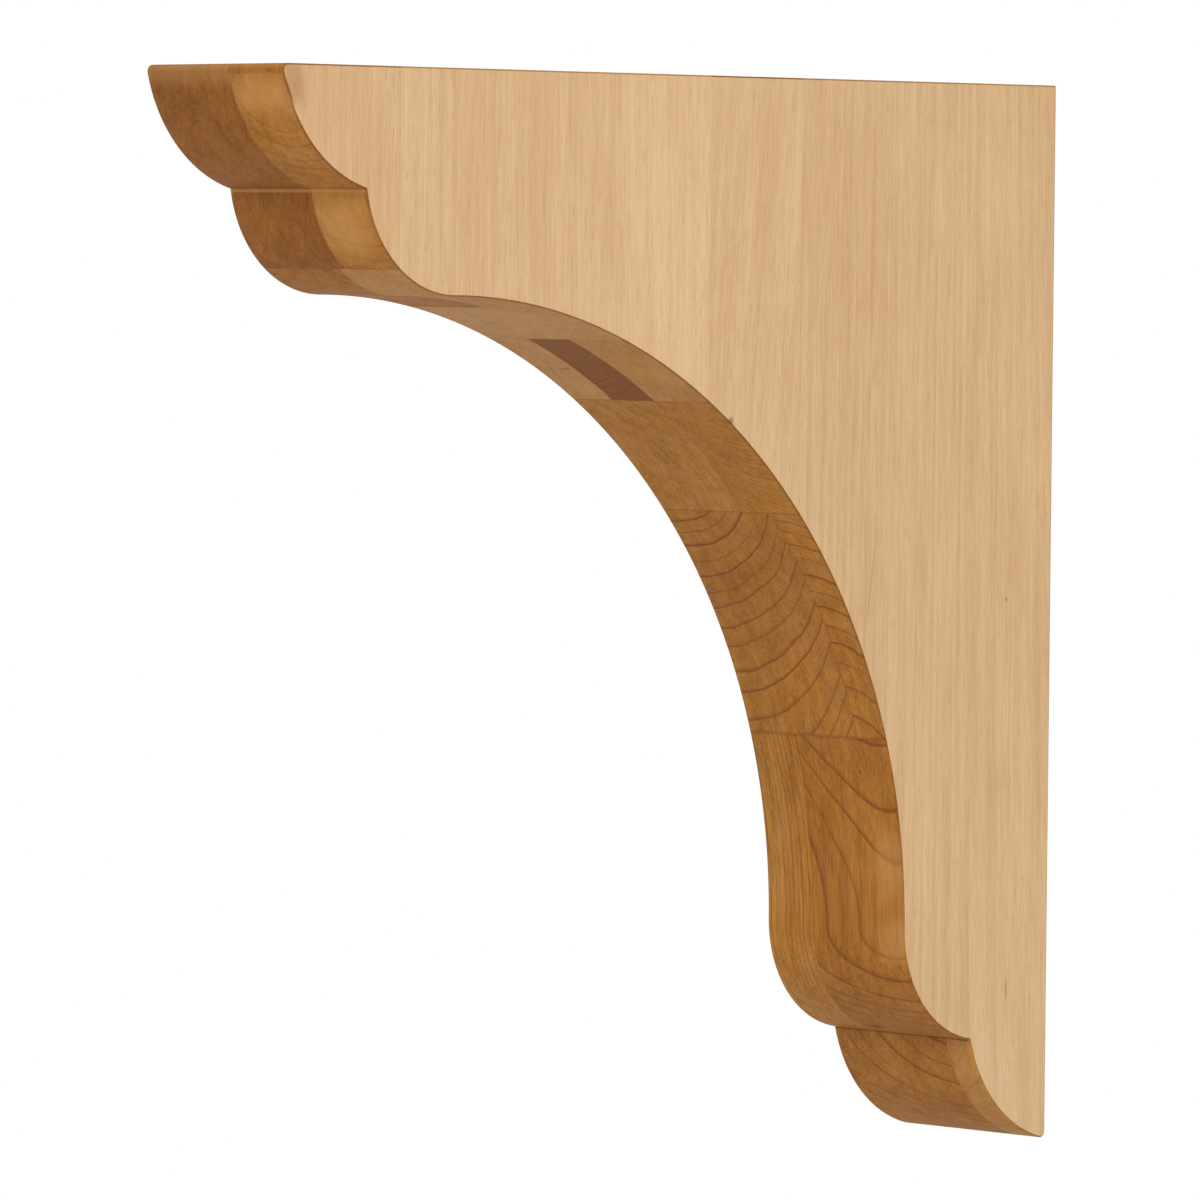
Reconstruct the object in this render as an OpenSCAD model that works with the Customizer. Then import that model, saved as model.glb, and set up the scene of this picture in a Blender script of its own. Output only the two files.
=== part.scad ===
// Bracket corbel sawn from a blank of glued hard maple staves.
// +X runs across the thickness, +Y points into the wall, +Z is up.
// The origin is the middle of the face that is fixed to the wall.

/* [Overall size] */
// How far the bracket stands out from the wall, to the nose corner before it is rounded
projection = 254; // [210:1:360]
// Height on the wall, to the foot corner before it is rounded
height = 254; // [210:1:360]
// Thickness between the two flat cheeks
thickness = 44.45; // [25:0.05:90]

/* [Sawn outline] */
// Depth of the top arm and of the wall leg where the arch ends in them
leg_depth = 51; // [42:0.5:70]
// Distance from the tip of a leg back to the end of the arch
end_reach = 53.3; // [46:0.1:75]
// Radius of the inner scallop, which runs into the arch
inner_scallop_r = 28; // [24:0.5:40]
// Depth of the crease between the two scallops, from the flat face
crease_depth = 27.3; // [18:0.1:33]
// Radius of the tip scallop
tip_scallop_r = 35; // [30:0.5:80]
// Rounding of the corner at the very tip of each leg
tip_round_r = 1.5; // [0.5:0.1:5]

/* [Staves, widths before all are trimmed in proportion to fill the blank] */
// Stave against the wall
wall_stave_w = 28; // [15:0.5:60]
// Stave that holds the lower scallops
foot_stave_w = 30; // [15:0.5:60]
// Stave behind the steep end of the arch
lower_arch_w = 30.5; // [15:0.5:60]
// Stave behind the middle of the arch
middle_arch_w = 30.5; // [15:0.5:60]
// Stave behind the flat end of the arch
upper_arch_w = 28; // [15:0.5:60]
// Stave at the crown of the arch
crown_stave_w = 25.5; // [15:0.5:60]
// Stave that holds the upper inner scallop
shoulder_w = 45.5; // [15:0.5:60]
// Stave at the nose
nose_w = 36; // [15:0.5:60]

/* [Strips, glue joints in percent of the thickness from the left cheek] */
// Joint in the wall stave
wall_joint = 82; // [10:0.5:90]
// Joint in the foot stave
foot_joint = 33.5; // [10:0.5:90]
// Joint in the lower arch stave
lower_arch_joint = 79.5; // [10:0.5:90]
// Joint in the middle arch stave
middle_arch_joint = 60; // [10:0.5:90]
// Left joint of the dark strip in the upper arch stave
dark_strip_left = 29.5; // [10:0.5:45]
// Right joint of the dark strip in the upper arch stave
dark_strip_right = 60; // [50:0.5:90]
// Joint in the shoulder stave
shoulder_joint = 56; // [10:0.5:90]
// Joint in the nose stave
nose_joint = 60; // [10:0.5:90]

/* [Hidden] */
$fn = 180;

// Order of the staves, from the wall out to the nose
WALL = 0;
FOOT = 1;
LOWER = 2;
MIDDLE = 3;
UPPER = 4;
CROWN = 5;
SHOULDER = 6;
NOSE = 7;
stave_w = [wall_stave_w, foot_stave_w, lower_arch_w, middle_arch_w,
           upper_arch_w, crown_stave_w, shoulder_w, nose_w];
LEFT_CHEEK = 0;
RIGHT_CHEEK = 100;

function sum_to(list, count) = count == 0 ? 0 : list[count - 1] + sum_to(list, count - 1);
// Distance from the wall to the near side of a stave
function stave_start(index) = projection * sum_to(stave_w, index) / sum_to(stave_w, len(stave_w));

// The arch is a quarter circle; on a bracket that isn't square it ends in a straight stretch
arch_r = min(projection, height) - end_reach - leg_depth;
arch_centre = leg_depth + arch_r;

// In a leg's own plane, "along" is measured back from its tip and "deep" from its flat face
inner_scallop_deep = leg_depth - inner_scallop_r;
crease_along = end_reach
    - sqrt(pow(inner_scallop_r, 2) - pow(crease_depth - inner_scallop_deep, 2));
// Centre of the tip scallop, which passes through the tip and the crease
chord = norm([crease_along, crease_depth]);
chord_to_centre = sqrt(pow(tip_scallop_r, 2) - pow(chord / 2, 2));
tip_along = crease_along / 2 + chord_to_centre * crease_depth / chord;
tip_deep = crease_depth / 2 - chord_to_centre * crease_along / chord;
// Centre of the small round, which touches the flat face and the tip scallop
round_reach = tip_scallop_r - tip_round_r;
round_along = tip_along - sqrt(pow(round_reach, 2) - pow(tip_round_r - tip_deep, 2));
touch = [tip_along, tip_deep]
    + [round_along - tip_along, tip_round_r - tip_deep] * tip_scallop_r / round_reach;

// Two scallops at the end of a leg: x is along and y is deep
module leg_end() {
    // the inner scallop, below the level of the crease
    intersection() {
        translate([end_reach, inner_scallop_deep]) circle(inner_scallop_r);
        translate([0, crease_depth]) square([end_reach, leg_depth - crease_depth]);
    }
    // the solid wood behind the tip scallop
    translate([tip_along, 0]) square([end_reach - tip_along, crease_depth]);
    // the tip scallop, from the small round down to the crease
    intersection() {
        translate([tip_along, tip_deep]) circle(tip_scallop_r);
        polygon([
            [tip_along, 0],
            [round_along, 0],
            [round_along, tip_round_r],
            touch,
            [touch[0], crease_depth],
            [tip_along, crease_depth]
        ]);
    }
    translate([round_along, tip_round_r]) circle(tip_round_r);
}

// The sawn outline: x is the distance from the wall and y the distance below the top
module side_outline() {
    difference() {
        square([projection - end_reach, height - end_reach]);
        translate([arch_centre, arch_centre]) circle(arch_r);
        translate([arch_centre, leg_depth]) square([projection, height]);
        translate([leg_depth, arch_centre]) square([projection, height]);
    }
    translate([projection, 0]) mirror([1, 0]) leg_end();
    translate([0, height]) mirror([0, 1]) mirror([1, -1]) leg_end();
}

// One glued board: a stave, between two joints given in percent of the thickness
module board(stave, left, right) {
    start = stave_start(stave);
    x_left = thickness * (left / 100 - 0.5);
    translate([x_left, 0, height / 2])
    rotate([180, 0, 0])
    rotate([90, 0, 90])
    linear_extrude(thickness * (right - left) / 100)
    intersection() {
        side_outline();
        translate([start, 0]) square([stave_start(stave + 1) - start, height]);
    }
}

module wall_stave_left() {
    color("#d9b684") board(WALL, LEFT_CHEEK, wall_joint);
}

module wall_stave_right() {
    color("#dcba8a") board(WALL, wall_joint, RIGHT_CHEEK);
}

module foot_stave_left() {
    color("#d2a66c") board(FOOT, LEFT_CHEEK, foot_joint);
}

module foot_stave_right() {
    color("#d8b281") board(FOOT, foot_joint, RIGHT_CHEEK);
}

module lower_arch_left() {
    color("#cf9f63") board(LOWER, LEFT_CHEEK, lower_arch_joint);
}

module lower_arch_right() {
    color("#d6ae7a") board(LOWER, lower_arch_joint, RIGHT_CHEEK);
}

module middle_arch_left() {
    color("#d7ad74") board(MIDDLE, LEFT_CHEEK, middle_arch_joint);
}

module middle_arch_right() {
    color("#d5ab76") board(MIDDLE, middle_arch_joint, RIGHT_CHEEK);
}

module upper_arch_left() {
    color("#d8ae76") board(UPPER, LEFT_CHEEK, dark_strip_left);
}

module upper_arch_middle() {
    color("#a8743f") board(UPPER, dark_strip_left, dark_strip_right);
}

module upper_arch_right() {
    color("#dcb889") board(UPPER, dark_strip_right, RIGHT_CHEEK);
}

module crown_stave() {
    color("#dab383") board(CROWN, LEFT_CHEEK, RIGHT_CHEEK);
}

module shoulder_left() {
    color("#c99657") board(SHOULDER, LEFT_CHEEK, shoulder_joint);
}

module shoulder_right() {
    color("#d9b486") board(SHOULDER, shoulder_joint, RIGHT_CHEEK);
}

module nose_left() {
    color("#c69257") board(NOSE, LEFT_CHEEK, nose_joint);
}

module nose_right() {
    color("#d5ae7c") board(NOSE, nose_joint, RIGHT_CHEEK);
}

wall_stave_left();
wall_stave_right();
foot_stave_left();
foot_stave_right();
lower_arch_left();
lower_arch_right();
middle_arch_left();
middle_arch_right();
upper_arch_left();
upper_arch_middle();
upper_arch_right();
crown_stave();
shoulder_left();
shoulder_right();
nose_left();
nose_right();
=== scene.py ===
"""Looks of a bracket corbel glued up from upright hard maple boards."""
from collections import namedtuple
from math import atan2, ceil, cos, hypot, pi, radians, sin, sqrt

import bmesh
import bpy
from bpy.props import FloatProperty, FloatVectorProperty, PointerProperty
from mathutils import Matrix, Vector


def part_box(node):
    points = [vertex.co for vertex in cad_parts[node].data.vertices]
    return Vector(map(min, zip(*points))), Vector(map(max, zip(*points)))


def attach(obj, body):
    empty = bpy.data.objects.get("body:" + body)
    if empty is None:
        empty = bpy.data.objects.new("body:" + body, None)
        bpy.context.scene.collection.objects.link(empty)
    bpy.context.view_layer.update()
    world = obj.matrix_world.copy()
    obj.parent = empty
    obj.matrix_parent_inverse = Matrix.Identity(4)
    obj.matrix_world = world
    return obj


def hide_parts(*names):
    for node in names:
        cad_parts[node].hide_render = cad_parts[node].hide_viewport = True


bl_info = {
    "name": "Maple Bracket Corbel",
    "version": (1, 0, 0),
    "blender": (4, 5, 0),
    "location": "3D View > Sidebar > Corbel",
    "description": "Builds a glued-up maple bracket corbel around its construction model",
    "category": "Object",
}

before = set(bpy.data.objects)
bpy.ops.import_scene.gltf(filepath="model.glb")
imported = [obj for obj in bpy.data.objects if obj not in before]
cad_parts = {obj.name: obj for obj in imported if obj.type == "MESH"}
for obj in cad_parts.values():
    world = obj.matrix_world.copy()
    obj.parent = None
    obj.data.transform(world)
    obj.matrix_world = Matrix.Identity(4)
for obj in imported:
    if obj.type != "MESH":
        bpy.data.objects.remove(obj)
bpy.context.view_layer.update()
MM = 0.001
RIGHT_CHEEK = max(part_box(node)[1].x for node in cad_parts)
LEFT_CHEEK = min(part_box(node)[0].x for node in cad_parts)
TOP = max(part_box(node)[1].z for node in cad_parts)
NEAR = 0.05 * MM
TOUCHING = NEAR / 10
ON_THE_CUT = NEAR / 50
OUT_OF_PLACE = 0.2 * MM

# A face or an edge of the blank is told by how it lies
FLAT = 0.999
EASED = 0.1
ARRIS_ANGLE = radians(60)
CREASE_ANGLE = radians(-40)
SHARP_ANGLE = radians(32)
# The crease layer marks where shade is painted into a crease, and the worn layer a pale band beside it that
# is partly wear and partly painted highlight
FACE_LAYERS = ("sawn", "end_grain", "arris", "crease", "worn_and_highlight")

# Sockets of a Mix node that mixes colours: how much of the upper one shows, the lower and the upper one
SHARE = 0
LOWER = 6
UPPER = 7


def linear(hex_colour):
    """Turns an sRGB hex colour into the linear values that shaders work in."""
    channels = [int(hex_colour[i:i + 2], 16) / 255 for i in (1, 3, 5)]
    return tuple(c / 12.92 if c <= 0.04045 else ((c + 0.055) / 1.055) ** 2.4 for c in channels)


def colour_property(name, description, hex_colour):
    """One colour that a user can change, kept as linear values."""
    return FloatVectorProperty(name=name, description=description, subtype="COLOR",
                               default=linear(hex_colour), min=0, max=1)


def length_property(name, description, millimetres):
    """One length that a user can change, given here in millimetres."""
    return FloatProperty(name=name, description=description, unit="LENGTH",
                         default=millimetres * MM, min=0)


class SawnOutline(bpy.types.PropertyGroup):
    """Sizes of the outline that the bracket is sawn to."""
    projection: length_property("Projection", "Wall face to the nose corner before rounding", 254)
    height: length_property("Height", "Top face to the foot corner before rounding", 254)
    leg_depth: length_property("Leg depth", "Depth of both legs where the arch ends", 51)
    end_reach: length_property("End reach", "Tip of a leg back to the end of the arch", 53.3)
    inner_radius: length_property("Inner scallop", "Radius of the scallop next to the arch", 28)
    crease_depth: length_property("Crease depth", "Flat face to the crease between scallops", 27.3)
    tip_radius: length_property("Tip scallop", "Radius of the scallop at the tip", 35)
    tip_round: length_property("Tip round", "Rounding of the corner at the tip", 1.5)
    # The crease line is a strip that the wood's colours paint dark, as painted shade in the crease
    crease_shade_width: length_property("Crease line", "Width of the dark line that the cutter left", 0.4)
    # The crease band is painted pale: partly wear, partly painted highlight
    crease_band: length_property("Crease band", "Width of the pale worn band next to it", 0.8)
    arris: length_property("Arris", "How far the sharp edges were eased by sandpaper", 0.35)
    point_gap: length_property("Point gap", "Spacing of the points along a curve", 0.9)


class MapleTones(bpy.types.PropertyGroup):
    """Colours of clear-coated hard maple."""
    planed: colour_property("Planed", "Flat cheeks, planed along the grain", "#e4c396")
    planed_deep: colour_property("Planed, deep", "Darker fibres of the cheeks", "#d0a678")
    sawn: colour_property("Sawn", "Sawn face, where the finish soaks in", "#cd8c38")
    sawn_deep: colour_property("Sawn, deep", "Darker fibres of the sawn face", "#925a18")
    ring: colour_property("Ring line", "Thin dark line where a year's growth ends", "#73380c")
    heart: colour_property("Heartwood", "Brown strip of heartwood", "#875020")


class StudioView(bpy.types.PropertyGroup):
    """Where the camera stands and how long its lens is."""
    azimuth: FloatProperty(name="Azimuth", description="Camera's turn from straight on",
                           subtype="ANGLE", default=radians(44.83))
    elevation: FloatProperty(name="Elevation", description="Camera's height as an angle",
                             subtype="ANGLE", default=radians(2.5))
    roll: FloatProperty(name="Roll", description="Camera's tilt about its own axis",
                        subtype="ANGLE", default=radians(0.5))
    distance: length_property("Distance", "Camera to the point that it looks at", 1893)
    lens: FloatProperty(name="Lens", description="Focal length on a 36 mm sensor", unit="CAMERA",
                        default=245.33, min=1)
    target_out: length_property("Target out", "Point looked at, from the wall", 131.7)
    target_up: length_property("Target up", "Point looked at, above the middle", 5.7)


# How one board was cut from its tree, in millimetres: pith is where the middle of the tree lies (x, y),
# lean is how the trunk leans over a length of 1 (x, y), gap is the width of a year's growth and sway is how
# far the growth wanders. Line is how dark the year's end shows, brown and pale shift the tone of the sawn
# edge and of the planed cheeks, and seed varies the noise.
Board = namedtuple("Board", "pith lean gap sway line brown pale seed")
BOARDS = {
    "wall_stave_left": Board((11, -64), (0.06, -0.09), 3.0, 2.0, 0.9, 0.45, 0.0, 1),
    "wall_stave_right": Board((60, 90), (0.01, 0.02), 3.4, 5.0, 0.3, -0.4, -0.1, 2),
    "foot_stave_left": Board((-120, -45), (0.02, 0.0), 1.5, 2.0, 1.2, 0.0, 0.0, 3),
    "foot_stave_right": Board((20, -130), (0.0, 0.0), 2.4, 1.2, 1.0, 0.65, -0.3, 4),
    "lower_arch_left": Board((-20, -125), (0.0, 0.0), 2.5, 3.0, 1.1, 0.4, 0.0, 5),
    "lower_arch_right": Board((11, -34), (0.026, -0.008), 2.5, 2.0, 1.0, 0.25, -0.5, 6),
    "middle_arch_left": Board((-32, -93), (0.0, 0.0), 2.2, 4.0, 0.5, -0.05, 0.0, 7),
    "middle_arch_right": Board((23.5, -121), (0.04, -0.07), 1.3, 3.0, 0.8, 0.1, -0.1, 8),
    "upper_arch_left": Board((-90, -160), (0.0, 0.0), 3.2, 6.0, 0.2, -1.0, 0.0, 9),
    "upper_arch_middle": Board((-30, -190), (0.02, 0.03), 1.3, 3.0, 1.2, 0.0, 0.0, 10),
    "upper_arch_right": Board((80, -60), (0.0, 0.02), 2.2, 4.0, 0.2, -0.7, 1.1, 11),
    "crown_stave": Board((-60, -260), (0.0, 0.0), 3.2, 5.0, 0.15, -1.25, 0.1, 12),
    "shoulder_left": Board((-70, -120), (0.0, 0.0), 2.2, 5.0, 0.4, 0.45, 0.0, 13),
    "shoulder_right": Board((90, -290), (0.0, 0.0), 2.6, 5.0, 0.1, -0.9, -0.2, 14),
    "nose_left": Board((-90, -330), (0.0, 0.0), 2.4, 6.0, 0.4, 1.2, 0.0, 15),
    "nose_right": Board((17.5, -265), (0.0, -0.02), 3.0, 4.0, 0.5, 0.1, -0.5, 16),
}
HEARTWOOD = "upper_arch_middle"

# Where the cutter tore the sawn edge, in millimetres: twice at the right cheek and once in the foot's crease
TORN_HIGH = (22.2, -111.7, 47.3)
TORN_LOW = (22.2, -68.4, -6.7)
TORN_CREASE = (-2.5, -33.5, -99.4)

# Small marks of the wood, in millimetres: place (x, y, z), reach (x, y, z) and turn about x in degrees, and
# how dark they are, or how pale where below zero. They are pin knots, mineral streaks, torn fibres, a corner
# browned by handling and paler spots.
Mark = namedtuple("Mark", "place reach turn dark")
MARKS = {
    "nose_right": (Mark((12, -223, 92), (14, 12, 12), 0, -0.6),
                   Mark((14, -251.5, 120), (16, 5, 7), 0, -0.5),
                   Mark((22, -250.5, 124), (5, 4.5, 10), 20, 0.4),
                   Mark((22.3, -251.8, 121), (1, 0.6, 5.5), 25, 0.75)),
    "shoulder_right": (Mark((22, -205, 70), (2, 0.3, 3.5), 4, 0.4),
                       Mark((22, -212, 64), (2, 0.3, 2.5), 4, 0.4)),
    "middle_arch_right": (Mark(TORN_HIGH, (1.5, 1.3, 1.6), 0, 0.6),),
    "upper_arch_left": (Mark((-12.3, -131.4, 59.1), (2.2, 0.7, 0.8), 0, 0.55),
                        Mark((-9.5, -129.9, 58.3), (0.9, 0.5, 0.5), 0, 0.5)),
    "lower_arch_right": (Mark(TORN_LOW, (1.4, 1.1, 2.4), 0, 0.6),
                         Mark((22, -63.4, 10), (2, 0.35, 20), -8.4, 0.3),
                         Mark((8.4, -64.7, -11.2), (0.7, 2, 1.2), 0, 0.8)),
    "foot_stave_right": (Mark((19.7, -49.4, -83), (0.6, 2, 1.0), 0, 0.9),
                         Mark((12, -55.6, -36.7), (0.45, 2, 0.8), 0, 0.9),
                         Mark(TORN_CREASE, (3.4, 3, 0.7), 0, 0.75),
                         Mark((18, -52, -59), (8, 7, 13), 0, -0.35),
                         Mark((19, -51, -77), (7, 7, 9), 0, -0.35)),
    "wall_stave_left": (Mark((7, -14, -117), (12, 9, 8), 0, 0.4),
                        Mark((-11.4, -23.5, -110.4), (0.5, 2, 0.5), 0, 0.9)),
    "wall_stave_right": (Mark((22, -15.9, 3.8), (2, 0.35, 0.9), 0, 0.8),
                         Mark((22, -14.6, -90), (2, 0.3, 4), 0, 0.6),
                         Mark((22, -20, 40), (2, 0.25, 34), 0.5, 0.28),
                         Mark((22, -14.5, -30), (2, 0.25, 46), 0, 0.25)),
}
# Nicks in the torn places, in millimetres: place, reach along the edge and depth
Nick = namedtuple("Nick", "place reach depth")
NICKS = (Nick(TORN_HIGH, 1.9, 0.55), Nick(TORN_LOW, 2.2, 0.5), Nick(TORN_CREASE, 1.6, 0.3))

# Noises in the wood: how far they reach in millimetres (x, y, along the grain), their detail and roughness,
# and a shift that keeps them from falling on one another. Maple's own fibres and flecks are too fine to show,
# so both are drawn several times coarser.
Noise = namedtuple("Noise", "reach detail roughness shift")
NOISES = {
    "slow_sway": Noise((45, 45, 150), 2, 0.5, 0),
    "quick_sway": Noise((9, 9, 50), 2, 0.5, 4),
    "fibre": Noise((0.45, 0.45, 14), 3, 0.65, 9),
    "streak": Noise((2.4, 2.4, 110), 3, 0.6, 12),
    "fleck": Noise((0.32, 0.32, 3.6), 1, 0.5, 15),
    "cloud": Noise((16, 16, 42), 2, 0.5, 21),
    "wash": Noise((7, 7, 26), 3, 0.5, 27),
}
# How far a noise moves from one board's seed to the next
SEED_STEP = (7.3, 3.1, 5.7)
# Between which values a noise deepens the tone of the wood, and by how much at most
DEEPENING = {"fibre": (0.37, 0.63, 0.42), "streak": (0.36, 0.64, 0.36), "cloud": (0.34, 0.66, 0.22)}
FLECK_RANGE = (0.60, 0.72)
WASH_RANGE = (0.4, 0.68)
QUICK_SWAY = 0.3

# Over a year's growth, how dark the wood is as (part of the year, darkness), and how far years differ
SEASON = ((0, 0.4), (0.04, 0), (0.8, 0), (0.91, 0.35), (0.97, 1), (1, 0.85))
YEARS = ((0, 0.5), (0.4, 0.8), (1, 1))
YEARS_PER_CHANGE = 2.2

# How strongly each thing shows, from 0 to 1
LINE_ON_CHEEK = 0.12
LINE_ON_SAWN = 0.84
SEAM_ON_CHEEK = 0.06
SEAM_ON_SAWN = 0.32
FLECKED = 0.2
WASHED = 0.09
PALE_WASH = 0.2
END_GRAIN = 0.2
# How dark the painted shade in the creases is
CREASE_SHADE = 0.6
# How pale the band beside each crease is: partly wear, partly painted highlight
WORN_AND_HIGHLIGHT = 0.5
# How much paler the sawn edge is in a band just under the top
PALER_TOP = 0.4
# How far the paler sawn tone lies towards the planed tone
PLANED_IN_PALE_SAWN = 0.25

# A mark darker than this is a stain and not a shade, and its core is this part of its reach
STAIN = 0.5
CORE = 0.2

# What a browner board loses in red, green and blue, how much browner flecks and marks are than their tone,
# how much paler a pale board is and how far the heartwood's tones lie apart
BROWN_LOSS = (0.22, 0.30, 0.38)
FLECK_BROWN = 0.3
MARK_BROWN = 0.2
PALE_GAIN = 0.25
HEART_SPREAD = 0.9

# Roughness of the planed cheeks, what the sawn edge adds to it and what the fibres add
PLANED_ROUGHNESS = 0.36
SAWN_ROUGHER = 0.2
FIBRE_ROUGHER = 0.16

# Heights and widths in millimetres: the arris is painted darker towards the top of the arch as shade, the
# sawn edge is paler in a band just under the top, and a glue line fades out from its middle
ARRIS_SHADE_HEIGHTS = (-80, 10)
ARRIS_SHADE_SHARES = (0.1, 0.45)
PALER_TOP_HEIGHTS = (121, 126)
SEAM_FADE = (0.066, 0.22)

# The studio, in metres
BRACKET_MIDDLE = (0, -0.12, 0)
FLOOR_RADIUS = 2.6
FLOOR_HEIGHT = -0.62
SENSOR_WIDTH = 36
# How bright the white walls are as a light, where 1 is how bright they look
WALL_LIGHT = 0.52


def arc(centre, radius, start, end, gap):
    """Points on an arc from one angle to another, both included."""
    steps = max(2, ceil(abs(end - start) * radius / gap))
    angles = (start + (end - start) * i / steps for i in range(steps + 1))
    return [(centre[0] + radius * cos(a), centre[1] + radius * sin(a)) for a in angles]


def leg_end(size):
    """The two scallops of a leg's end as (along, deep) points, from the tip's flat face inwards."""
    inner_deep = size.leg_depth - size.inner_radius
    crease = size.end_reach - sqrt(size.inner_radius ** 2 - (size.crease_depth - inner_deep) ** 2)
    chord = hypot(crease, size.crease_depth)
    rise = sqrt(size.tip_radius ** 2 - (chord / 2) ** 2)
    tip = (crease / 2 + rise * size.crease_depth / chord, size.crease_depth / 2 - rise * crease / chord)
    reach = size.tip_radius - size.tip_round
    small = (tip[0] - sqrt(reach ** 2 - (size.tip_round - tip[1]) ** 2), size.tip_round)
    touch = atan2(small[1] - tip[1], small[0] - tip[0])
    crease_angle = atan2(size.crease_depth - tip[1], crease - tip[0])
    inner_start = atan2(size.crease_depth - inner_deep, crease - size.end_reach)
    gap = size.point_gap
    line_start = crease_angle + size.crease_shade_width / size.tip_radius
    band_end = inner_start - size.crease_band / size.inner_radius
    points = arc(small, size.tip_round, 1.5 * pi, touch, gap / 3)
    points += arc(tip, size.tip_radius, touch, line_start, gap)[1:]
    points.append((crease, size.crease_depth))
    points += arc((size.end_reach, inner_deep), size.inner_radius, band_end, pi / 2, gap)
    return points


def sawn_edge(size):
    """The sawn edge from the foot to the nose as (out from the wall, down from the top) points."""
    end = leg_end(size)
    foot = [(deep, size.height - along) for along, deep in end]
    nose = [(size.projection - along, deep) for along, deep in reversed(end)]
    radius = min(size.projection, size.height) - size.end_reach - size.leg_depth
    centre = size.leg_depth + radius
    arch = arc((centre, centre), radius, -pi, -pi / 2, size.point_gap)
    if foot[-1][1] - arch[0][1] < NEAR:
        arch = arch[1:]
    if nose[0][0] - arch[-1][0] < NEAR:
        arch = arch[:-1]
    return foot + arch + nose


def add(tree, kind, inputs=(), **settings):
    """Adds a node with its settings, and links or fills its inputs. A node given as an input is linked from
    the first output that it shows."""
    node = tree.nodes.new(kind)
    for name, value in settings.items():
        setattr(node, name, value)
    for socket, value in dict(inputs).items():
        if isinstance(value, bpy.types.Node):
            value = next(output for output in value.outputs if output.enabled)
        if isinstance(value, bpy.types.NodeSocket):
            tree.links.new(value, node.inputs[socket])
        else:
            node.inputs[socket].default_value = value
    return node


def blank_tree():
    """Geometry Nodes that make the blank as thick as asked from the shape drawn on its left side."""
    tree = bpy.data.node_groups.new("Blank sawn to an outline", "GeometryNodeTree")
    sockets = tree.interface
    sockets.new_socket("Geometry", in_out="INPUT", socket_type="NodeSocketGeometry")
    sockets.new_socket("Thickness", in_out="INPUT", socket_type="NodeSocketFloat")
    sockets.new_socket("Wood", in_out="INPUT", socket_type="NodeSocketMaterial")
    sockets.new_socket("Geometry", in_out="OUTPUT", socket_type="NodeSocketGeometry")
    given = add(tree, "NodeGroupInput").outputs
    far = add(tree, "GeometryNodeExtrudeMesh",
              {"Mesh": given["Geometry"], "Offset Scale": given["Thickness"], "Individual": False})
    near = add(tree, "GeometryNodeFlipFaces", {"Mesh": given["Geometry"]})
    sides = add(tree, "GeometryNodeJoinGeometry")
    tree.links.new(near.outputs[0], sides.inputs[0])
    tree.links.new(far.outputs["Mesh"], sides.inputs[0])
    closed = add(tree, "GeometryNodeMergeByDistance", {"Geometry": sides, "Distance": TOUCHING})
    real = add(tree, "GeometryNodeRealizeInstances", {"Geometry": closed})
    finish = add(tree, "GeometryNodeSetMaterial", {"Geometry": real, "Material": given["Wood"]})
    add(tree, "NodeGroupOutput", {"Geometry": finish})
    return tree


def through_nodes(name, mesh, tree, values):
    """Runs a mesh through a Geometry Nodes tree and gives back the plain mesh that comes out."""
    source = bpy.data.objects.new(name, mesh)
    bpy.context.collection.objects.link(source)
    modifier = source.modifiers.new("Blank", "NODES")
    modifier.node_group = tree
    for socket in tree.interface.items_tree:
        if socket.in_out == "INPUT" and socket.name in values:
            modifier[socket.identifier] = values[socket.name]
    seen = source.evaluated_get(bpy.context.evaluated_depsgraph_get())
    result = bpy.data.meshes.new_from_object(seen)
    source.modifiers.clear()
    bpy.data.objects.remove(source)
    return result


def nick_edges(shape):
    """Dents the eased arrises where the cutter tore them, without pushing past the planed cheeks."""
    for nick in NICKS:
        for vertex in shape.verts:
            away = (vertex.co - MM * Vector(nick.place)).length / (nick.reach * MM)
            if away < 1:
                inwards = -vertex.normal
                if abs(vertex.co.x) > RIGHT_CHEEK - TOUCHING:
                    inwards.x = 0
                vertex.co += inwards * nick.depth * MM * (1 - away * away)


def mark_faces(shape):
    """Notes on each face how it was made and where shade and a highlight are painted, which the wood's
    colours read, and where its edges are sharp. Every face goes in the first material slot, which holds its
    board's own wood."""
    half_thickness = (RIGHT_CHEEK - LEFT_CHEEK) / 2
    sawn, end_grain, arris, crease, worn_and_highlight = (shape.faces.layers.float.new(layer) for layer in FACE_LAYERS)
    for face in shape.faces:
        planed = abs(face.normal.x) > FLAT or face.normal.y > FLAT
        face[sawn] = 0 if planed else 1
        face[end_grain] = 0 if planed else face.normal.z ** 2
        face[arris] = 1 if EASED < abs(face.normal.x) < FLAT else 0
        face.smooth = not planed
        face.material_index = 0
    for edge in shape.edges:
        # At each crease the narrow face gets painted shade, and the wider face beside it a pale band that is
        # partly wear and partly painted highlight
        if edge.calc_face_angle_signed() < CREASE_ANGLE and edge.calc_length() > half_thickness:
            line, band = sorted(edge.link_faces, key=lambda face: face.calc_area())
            line[crease] = 1
            band[worn_and_highlight] = 1
        edge.smooth = edge.calc_face_angle() < SHARP_ANGLE and all(face.smooth for face in edge.link_faces)


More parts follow.
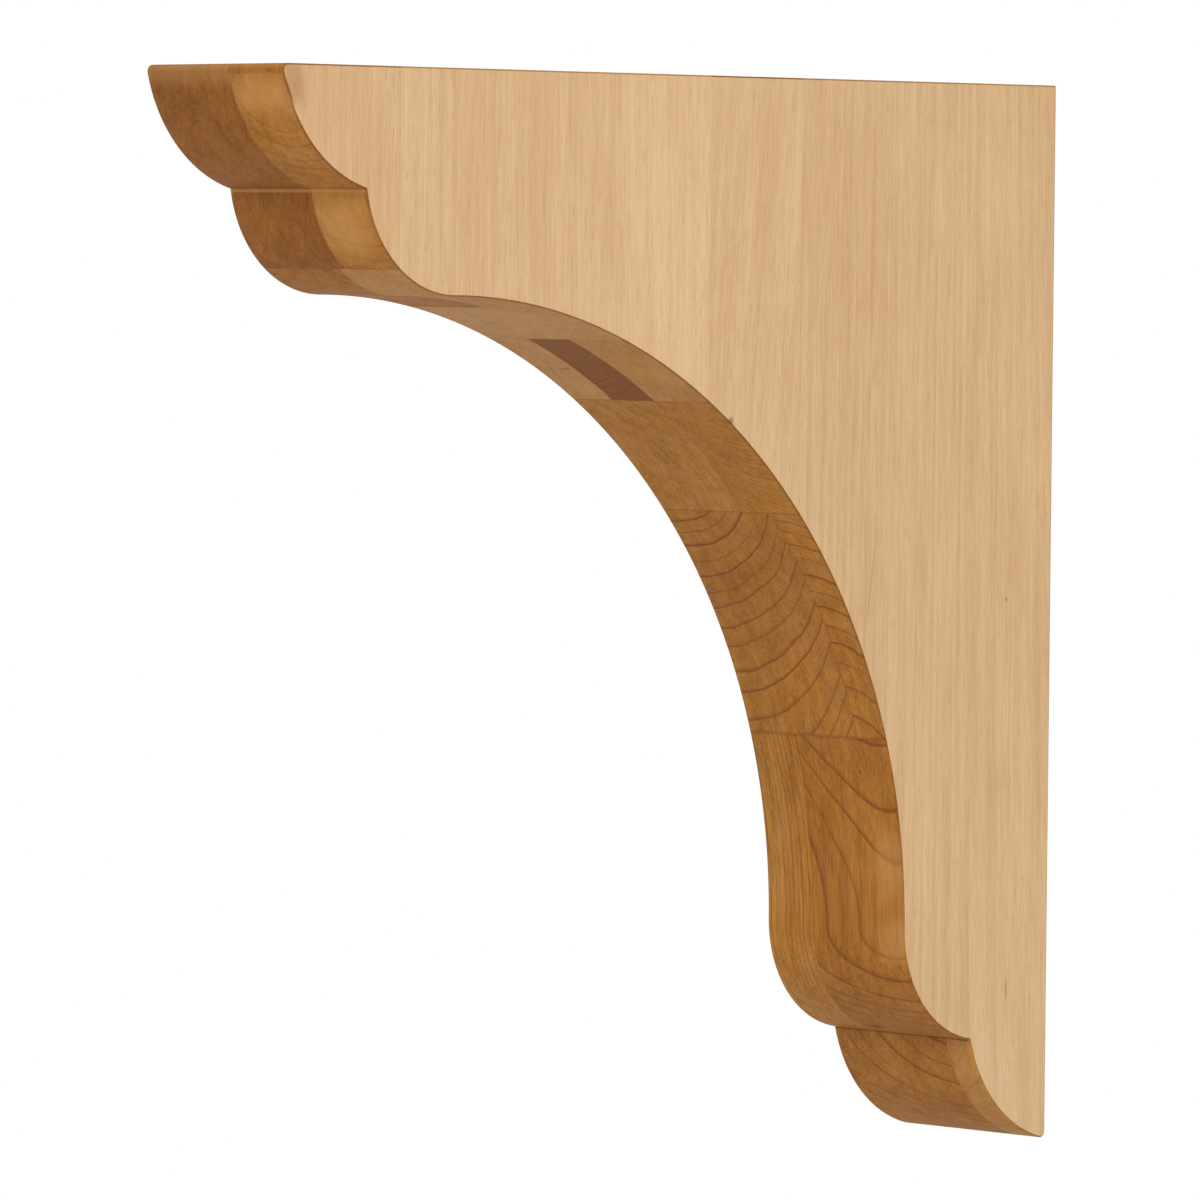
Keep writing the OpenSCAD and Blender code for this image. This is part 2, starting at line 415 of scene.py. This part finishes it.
def sawn_blank(wood):
    """The whole bracket in one, as it comes off the saw: outline, thickness and eased arrises."""
    size = bpy.context.scene.corbel_outline
    outline = sawn_edge(size) + [(0, 0)]
    flat = bpy.data.meshes.new("flat_blank")
    flat.from_pydata([(LEFT_CHEEK, -out, TOP - down) for out, down in outline], [],
                     [list(range(len(outline)))])
    if flat.polygons[0].normal.x < 0:
        flat.flip_normals()
    values = {"Thickness": RIGHT_CHEEK - LEFT_CHEEK, "Wood": wood}
    shape = bmesh.new()
    shape.from_mesh(through_nodes("blank", flat, blank_tree(), values))
    bmesh.ops.recalc_face_normals(shape, faces=shape.faces)
    arrises = [edge for edge in shape.edges if edge.calc_face_angle_signed() > ARRIS_ANGLE]
    bmesh.ops.bevel(shape, geom=arrises, offset=size.arris, segments=3, profile=0.5, affect="EDGES",
                    clamp_overlap=False)
    nick_edges(shape)
    mark_faces(shape)
    return shape


def cut_along(shape, place, outwards):
    """Cuts off what lies beyond a glue joint and closes the cut."""
    everything = list(shape.verts) + list(shape.edges) + list(shape.faces)
    cut = bmesh.ops.bisect_plane(shape, geom=everything, dist=ON_THE_CUT, plane_co=place, plane_no=outwards,
                                 clear_outer=True)
    rim = [part for part in cut["geom_cut"] if isinstance(part, bmesh.types.BMEdge)]
    if not rim:
        return
    for face in bmesh.ops.contextual_create(shape, geom=rim)["faces"]:
        face.smooth = False
        if face.normal.dot(Vector(outwards)) < 0:
            face.normal_flip()
    for edge in rim:
        edge.smooth = False


def pushed(colour, brown):
    """A tone made browner for a warm board, or paler where brown is below zero."""
    return tuple(min(1, channel * (1 - loss * brown)) for channel, loss in zip(colour, BROWN_LOSS)) + (1,)


def wood_noises(tree, board, trunk):
    """The noises that make one board's grain, by name."""
    noises = {}
    for name, noise in NOISES.items():
        place = add(tree, "ShaderNodeMapping", {
            "Vector": trunk,
            "Location": Vector(SEED_STEP) * board.seed + Vector((noise.shift, 0, 0)),
            "Scale": tuple(1 / length for length in noise.reach)})
        noises[name] = add(tree, "ShaderNodeTexNoise", {
            "Vector": place, "Scale": 1, "Detail": noise.detail, "Roughness": noise.roughness},
            noise_dimensions="3D")
    return noises


def growth_line(tree, board, trunk, noises):
    """How dark the end of a year's growth is, around the board's own pith."""
    place = trunk
    for name, share in (("slow_sway", 1), ("quick_sway", QUICK_SWAY)):
        centred = add(tree, "ShaderNodeVectorMath", {0: noises[name].outputs["Color"], 1: (0.5, 0.5, 0.5)},
                      operation="SUBTRACT")
        reach = share * board.sway
        sway = add(tree, "ShaderNodeVectorMath", {0: centred, 1: (reach, reach, 0)}, operation="MULTIPLY")
        place = add(tree, "ShaderNodeVectorMath", {0: place, 1: sway}, operation="ADD")
    level = add(tree, "ShaderNodeVectorMath", {0: place, 1: (1, 1, 0)}, operation="MULTIPLY")
    from_pith = add(tree, "ShaderNodeVectorMath", {0: level}, operation="LENGTH")
    change = add(tree, "ShaderNodeMath", {0: from_pith, 1: YEARS_PER_CHANGE * board.gap}, operation="DIVIDE")
    uneven = add(tree, "ShaderNodeTexNoise", {"W": change, "Scale": 1, "Detail": 1}, noise_dimensions="1D")
    even = add(tree, "ShaderNodeMath", {0: from_pith, 1: board.gap}, operation="DIVIDE")
    years = add(tree, "ShaderNodeMath", {0: even, 1: uneven}, operation="ADD")
    season = add(tree, "ShaderNodeMath", {0: years}, operation="FRACT")
    count = add(tree, "ShaderNodeMath", {0: years}, operation="FLOOR")
    luck = add(tree, "ShaderNodeTexWhiteNoise", {"W": count}, noise_dimensions="1D")
    curves = []
    for value, stops in ((season, SEASON), (luck, YEARS)):
        curve = add(tree, "ShaderNodeValToRGB", {"Fac": value})
        elements = curve.color_ramp.elements
        while len(elements) < len(stops):
            elements.new(0.5)
        for element, (position, darkness) in zip(elements, stops):
            element.position = position
            element.color = (darkness, darkness, darkness, 1)
        curves.append(curve)
    return add(tree, "ShaderNodeMath", dict(enumerate(curves)), operation="MULTIPLY")


def tone_depth(tree, noises):
    """How deep the tone of the wood is, from fibres, streaks and slow clouds together."""
    depth = 0.0
    for name, (start, end, share) in DEEPENING.items():
        part = add(tree, "ShaderNodeMapRange",
                   {"Value": noises[name], "From Min": start, "From Max": end, "To Max": share})
        depth = add(tree, "ShaderNodeMath", {0: depth, 1: part}, operation="ADD")
    return depth


def glue_lines(tree, name, place, sawn, ring):
    """The glue lines round a board, as (share, tone) coats. Glue keeps the finish out and shows darker."""
    low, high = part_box(name)
    across = add(tree, "ShaderNodeSeparateXYZ", {0: place}).outputs
    shown = add(tree, "ShaderNodeMapRange", {"Value": sawn, "To Min": SEAM_ON_CHEEK, "To Max": SEAM_ON_SAWN})
    coats = []
    for axis in (0, 1):
        for joint in (low[axis], high[axis]):
            offset = add(tree, "ShaderNodeMath", {0: across[axis], 1: joint}, operation="SUBTRACT")
            away = add(tree, "ShaderNodeMath", {0: offset}, operation="ABSOLUTE")
            near = add(tree, "ShaderNodeMapRange", {
                "Value": away, "From Min": SEAM_FADE[0] * MM, "From Max": SEAM_FADE[1] * MM,
                "To Min": 1, "To Max": 0})
            coats.append((add(tree, "ShaderNodeMath", {0: near, 1: shown}, operation="MULTIPLY"), ring))
    return coats


def wood_marks(tree, name, place, tones, pale_sawn):
    """A board's own small marks, as (share, tone) coats."""
    coats = []
    for mark in MARKS.get(name, ()):
        within = add(tree, "ShaderNodeMapping", {
            "Vector": place, "Location": tuple(MM * length for length in mark.place),
            "Rotation": (radians(mark.turn), 0, 0), "Scale": tuple(MM * length for length in mark.reach)},
            vector_type="TEXTURE")
        away = add(tree, "ShaderNodeVectorMath", {0: within}, operation="LENGTH")
        share = add(tree, "ShaderNodeMapRange", {
            "Value": away, "From Min": CORE, "From Max": 1, "To Min": abs(mark.dark), "To Max": 0},
            interpolation_type="SMOOTHSTEP")
        if mark.dark < 0:
            tone = pale_sawn
        elif mark.dark > STAIN:
            tone = pushed(tones.ring, MARK_BROWN)
        else:
            tone = pushed(tones.sawn_deep, MARK_BROWN)
        coats.append((share, tone))
    return coats


def maple(name, tones):
    """Hard maple under a clear satin coat. The years' growth stands around the board's own pith, so a
    straight cut shows upright lines and a curved cut shows nested loops. The planed cheeks stay pale and
    even, and the sawn edge drinks more finish, so it goes amber and its growth lines go brown."""
    board = BOARDS[name]
    material = bpy.data.materials.new("Clear-coated hard maple, " + name.replace("_", " "))
    material.use_nodes = True
    tree = material.node_tree
    tree.nodes.clear()
    place = add(tree, "ShaderNodeTexCoord").outputs["Object"]
    trunk = add(tree, "ShaderNodeMapping", {
        "Vector": place,
        "Location": (-board.pith[0], -board.pith[1], 0),
        "Rotation": (-board.lean[1], board.lean[0], 0),
        "Scale": (1 / MM, 1 / MM, 1 / MM)})
    height = add(tree, "ShaderNodeSeparateXYZ", {0: trunk}).outputs["Z"]
    sawn, end_grain, arris, crease, worn_and_highlight = (
        add(tree, "ShaderNodeAttribute", attribute_name=layer).outputs["Fac"] for layer in FACE_LAYERS)
    noises = wood_noises(tree, board, trunk)
    depth = tone_depth(tree, noises)
    ring = pushed(tones.ring, 0)
    # a paler sawn tone for the paler spots, the band under the top and the band by each crease, which is
    # partly painted highlight
    pale_sawn = tuple(amber + PLANED_IN_PALE_SAWN * (pale - amber) for amber, pale in
                   zip(pushed(tones.sawn, 0), pushed(tones.planed, 0)))

    # the wood itself: pale where it was planed, amber where it was sawn, brown in the heartwood
    pale = -PALE_GAIN * board.pale
    planed = add(tree, "ShaderNodeMix", {
        SHARE: depth, LOWER: pushed(tones.planed, pale), UPPER: pushed(tones.planed_deep, pale)},
        data_type="RGBA")
    warm = max(0, board.brown)
    light = pushed(tones.sawn, warm)
    dark = pushed(tones.sawn_deep, warm)
    pale_wash = PALE_WASH * max(0, -board.brown)
    full_wash = pale_wash + WASHED / (1 + 2 * warm)
    if name == HEARTWOOD:
        light = pushed(tones.heart, -HEART_SPREAD)
        dark = pushed(tones.heart, HEART_SPREAD)
        full_wash = pale_wash
    amber = add(tree, "ShaderNodeMix", {SHARE: depth, LOWER: light, UPPER: dark}, data_type="RGBA")
    wash = add(tree, "ShaderNodeMapRange", {
        "Value": noises["wash"], "From Min": WASH_RANGE[0], "From Max": WASH_RANGE[1],
        "To Min": pale_wash, "To Max": full_wash})
    thirsty = add(tree, "ShaderNodeMath", {0: end_grain, 1: END_GRAIN}, operation="MULTIPLY")
    for share, tone in ((wash, pushed(tones.planed, 0)), (thirsty, pushed(tones.sawn_deep, board.brown))):
        amber = add(tree, "ShaderNodeMix", {SHARE: share, LOWER: amber, UPPER: tone}, data_type="RGBA")
    body = add(tree, "ShaderNodeMix", {SHARE: sawn, LOWER: planed, UPPER: amber}, data_type="RGBA")

    # what lies over it, from the growth lines to the marks of tools and hands, with painted shade on the
    # arrises and in the creases
    line_share = add(tree, "ShaderNodeMapRange", {
        "Value": sawn, "To Min": LINE_ON_CHEEK * board.line, "To Max": LINE_ON_SAWN * board.line})
    line = add(tree, "ShaderNodeMath", {0: growth_line(tree, board, trunk, noises), 1: line_share},
               operation="MULTIPLY")
    fleck = add(tree, "ShaderNodeMapRange", {
        "Value": noises["fleck"], "From Min": FLECK_RANGE[0], "From Max": FLECK_RANGE[1],
        "To Max": FLECKED})
    # painted shade on the arrises, darker towards the top of the arch
    arris_shade_by_height = add(tree, "ShaderNodeMapRange", {
        "Value": height, "From Min": ARRIS_SHADE_HEIGHTS[0], "From Max": ARRIS_SHADE_HEIGHTS[1],
        "To Min": ARRIS_SHADE_SHARES[0], "To Max": ARRIS_SHADE_SHARES[1]})
    painted_arris_shade = add(tree, "ShaderNodeMath", {0: arris, 1: arris_shade_by_height}, operation="MULTIPLY")
    # painted shade in the creases
    painted_crease_shade = add(tree, "ShaderNodeMath", {0: crease, 1: CREASE_SHADE}, operation="MULTIPLY")
    # the sawn edge paler in a band just under the top
    under_top = add(tree, "ShaderNodeMapRange", {
        "Value": height, "From Min": PALER_TOP_HEIGHTS[0], "From Max": PALER_TOP_HEIGHTS[1], "To Max": PALER_TOP})
    paler_top = add(tree, "ShaderNodeMath", {0: under_top, 1: sawn}, operation="MULTIPLY")
    # a pale band beside each crease: partly wear, partly painted highlight
    worn_and_highlight_band = add(tree, "ShaderNodeMath", {0: worn_and_highlight, 1: WORN_AND_HIGHLIGHT}, operation="MULTIPLY")
    paler_top_and_band = add(tree, "ShaderNodeMath", {0: paler_top, 1: worn_and_highlight_band}, operation="MAXIMUM")
    coats = [(line, ring), (fleck, pushed(tones.sawn_deep, FLECK_BROWN))]
    coats += glue_lines(tree, name, place, sawn, ring)
    # painted shade on the arrises and in the creases, then the pale bands, the one by each crease partly
    # painted highlight
    coats += [(painted_arris_shade, ring), (painted_crease_shade, ring), (paler_top_and_band, pale_sawn)]
    coats += wood_marks(tree, name, place, tones, pale_sawn)
    for share, tone in coats:
        body = add(tree, "ShaderNodeMix", {SHARE: share, LOWER: body, UPPER: tone}, data_type="RGBA")

    # the satin coat: glossier on the planed cheeks, and broken up by the fibres
    bump = add(tree, "ShaderNodeBump", {"Strength": 0.25, "Distance": 0.05 * MM, "Height": noises["fibre"]})
    soaked = add(tree, "ShaderNodeMath", {0: sawn, 1: SAWN_ROUGHER, 2: PLANED_ROUGHNESS},
                 operation="MULTIPLY_ADD")
    rough = add(tree, "ShaderNodeMath", {0: noises["fibre"], 1: FIBRE_ROUGHER, 2: soaked},
                operation="MULTIPLY_ADD")
    shader = add(tree, "ShaderNodeBsdfPrincipled", {
        "Base Color": body, "Roughness": rough, "Normal": bump, "IOR": 1.5,
        "Specular IOR Level": 0.2, "Coat Weight": 0.06, "Coat Roughness": 0.3})
    add(tree, "ShaderNodeOutputMaterial", {"Surface": shader})
    return material


def make_board(name, wood, blank):
    """Cuts one board out of the blank along its glue joints, in place of its construction piece."""
    low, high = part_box(name)
    shape = blank.copy()
    for axis in (0, 1):
        for corner, side in ((low, -1), (high, 1)):
            outwards = [0, 0, 0]
            outwards[axis] = side
            cut_along(shape, corner, outwards)
    mesh = bpy.data.meshes.new(name)
    shape.to_mesh(mesh)
    shape.free()
    mesh.materials.append(wood)
    for axis in range(3):
        reach = [pick(vertex.co[axis] for vertex in mesh.vertices) for pick in (min, max)]
        if max(abs(reach[0] - low[axis]), abs(reach[1] - high[axis])) > OUT_OF_PLACE:
            raise ValueError(f"{name} reaches {reach} on axis {axis}, not {low[axis], high[axis]}")
    piece = bpy.data.objects.new(name + "_board", mesh)
    bpy.context.collection.objects.link(piece)
    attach(piece, "root")
    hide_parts(name)


def make_boards(*names):
    """Makes several boards out of one blank, each in a wood of its own."""
    woods = [maple(name, bpy.context.scene.corbel_tones) for name in names]
    blank = sawn_blank(woods[0])
    for name, wood in zip(names, woods):
        make_board(name, wood, blank)
    blank.free()


class CORBEL_OT_wall_leg(bpy.types.Operator):
    """Makes the boards of the leg that lies against the wall"""
    bl_idname = "corbel.wall_leg"
    bl_label = "Wall leg boards"

    def execute(self, context):
        make_boards("wall_stave_left", "wall_stave_right", "foot_stave_left", "foot_stave_right")
        return {"FINISHED"}


class CORBEL_OT_arch(bpy.types.Operator):
    """Makes the boards that the arch is sawn through"""
    bl_idname = "corbel.arch"
    bl_label = "Arch boards"

    def execute(self, context):
        make_boards("lower_arch_left", "lower_arch_right", "middle_arch_left", "middle_arch_right",
                    "upper_arch_left", "upper_arch_middle", "upper_arch_right", "crown_stave")
        return {"FINISHED"}


class CORBEL_OT_arm(bpy.types.Operator):
    """Makes the boards of the arm that carries the shelf, out to the nose"""
    bl_idname = "corbel.arm"
    bl_label = "Arm and nose boards"

    def execute(self, context):
        make_boards("shoulder_left", "shoulder_right", "nose_left", "nose_right")
        return {"FINISHED"}


def soft_box(name, place, size, power):
    """A softbox: a square light that faces the bracket."""
    light = bpy.data.lights.new(name, "AREA")
    light.shape = "RECTANGLE"
    light.size = size
    light.size_y = size
    light.energy = power
    lamp = bpy.data.objects.new(name, light)
    bpy.context.collection.objects.link(lamp)
    towards = Vector(place) - Vector(BRACKET_MIDDLE)
    lamp.matrix_world = Matrix.Translation(place) @ towards.to_track_quat("Z", "Y").to_matrix().to_4x4()


def pale_floor():
    """The floor: matt emulsion paint, which gives an even pale ground with no shine."""
    mesh = bpy.data.meshes.new("floor")
    disc = bmesh.new()
    bmesh.ops.create_circle(disc, cap_ends=True, segments=96, radius=FLOOR_RADIUS,
                            matrix=Matrix.Translation((0, 0, FLOOR_HEIGHT)))
    disc.to_mesh(mesh)
    disc.free()
    paint = bpy.data.materials.new("Matt emulsion paint on the floor")
    paint.use_nodes = True
    shader = paint.node_tree.nodes["Principled BSDF"]
    shader.inputs["Base Color"].default_value = linear("#efece6") + (1,)
    shader.inputs["Roughness"].default_value = 0.9
    mesh.materials.append(paint)
    floor = bpy.data.objects.new("floor", mesh)
    bpy.context.collection.objects.link(floor)


def white_surroundings():
    """White walls all round: bright to look at, and dimmer as a light on the bracket."""
    world = bpy.data.worlds.new("White studio")
    world.use_nodes = True
    tree = world.node_tree
    tree.nodes.clear()
    seen = add(tree, "ShaderNodeLightPath").outputs["Is Camera Ray"]
    strength = add(tree, "ShaderNodeMapRange", {"Value": seen, "To Min": WALL_LIGHT, "To Max": 1})
    glow = add(tree, "ShaderNodeBackground", {"Color": (1, 1, 1, 1), "Strength": strength})
    add(tree, "ShaderNodeOutputWorld", {"Surface": glow})
    bpy.context.scene.world = world


def stand_camera(view):
    """Stands the camera where the view says and turns it about its own axis by the view's roll."""
    back = Vector((sin(view.azimuth) * cos(view.elevation), -cos(view.azimuth) * cos(view.elevation),
                   sin(view.elevation)))
    right = Vector((cos(view.azimuth), sin(view.azimuth), 0))
    up = back.cross(right)
    turned_right = cos(view.roll) * right + sin(view.roll) * up
    turned_up = -sin(view.roll) * right + cos(view.roll) * up
    lens = bpy.data.cameras.new("camera")
    lens.lens = view.lens
    lens.sensor_width = SENSOR_WIDTH
    lens.clip_end = 50
    camera = bpy.data.objects.new("camera", lens)
    bpy.context.collection.objects.link(camera)
    place = Vector((0, -view.target_out, view.target_up)) + back * view.distance
    turn = Matrix((turned_right, turned_up, back)).transposed().to_4x4()
    camera.matrix_world = Matrix.Translation(place) @ turn
    bpy.context.scene.camera = camera


class CORBEL_OT_studio(bpy.types.Operator):
    """Sets up the floor, the light and the camera"""
    bl_idname = "corbel.studio"
    bl_label = "Studio"

    def execute(self, context):
        context.scene.view_settings.view_transform = "Standard"
        pale_floor()
        white_surroundings()
        soft_box("key_softbox", place=(1.9, -0.9, 1.2), size=1.4, power=31)
        soft_box("fill_softbox", place=(-0.8, -2.2, 0.7), size=1.6, power=8)
        stand_camera(context.scene.corbel_view)
        return {"FINISHED"}


OPERATORS = (CORBEL_OT_wall_leg, CORBEL_OT_arch, CORBEL_OT_arm, CORBEL_OT_studio)


class CORBEL_PT_panel(bpy.types.Panel):
    """Lists the bracket's steps and the sizes and colours that can be changed"""
    bl_label = "Maple Bracket Corbel"
    bl_idname = "CORBEL_PT_panel"
    bl_space_type = "VIEW_3D"
    bl_region_type = "UI"
    bl_category = "Corbel"

    def draw(self, context):
        scene = context.scene
        for group in (scene.corbel_outline, scene.corbel_tones, scene.corbel_view):
            box = self.layout.box()
            for name in group.__annotations__:
                box.prop(group, name)
        for operator in OPERATORS:
            self.layout.operator(operator.bl_idname)


CLASSES = (SawnOutline, MapleTones, StudioView) + OPERATORS + (CORBEL_PT_panel,)


def register():
    for cls in CLASSES:
        bpy.utils.register_class(cls)
    bpy.types.Scene.corbel_outline = PointerProperty(type=SawnOutline)
    bpy.types.Scene.corbel_tones = PointerProperty(type=MapleTones)
    bpy.types.Scene.corbel_view = PointerProperty(type=StudioView)


def unregister():
    del bpy.types.Scene.corbel_outline
    del bpy.types.Scene.corbel_tones
    del bpy.types.Scene.corbel_view
    for cls in reversed(CLASSES):
        bpy.utils.unregister_class(cls)


def main():
    register()
    bpy.ops.corbel.wall_leg()
    bpy.ops.corbel.arch()
    bpy.ops.corbel.arm()
    bpy.ops.corbel.studio()


if __name__ == "__main__":
    main()
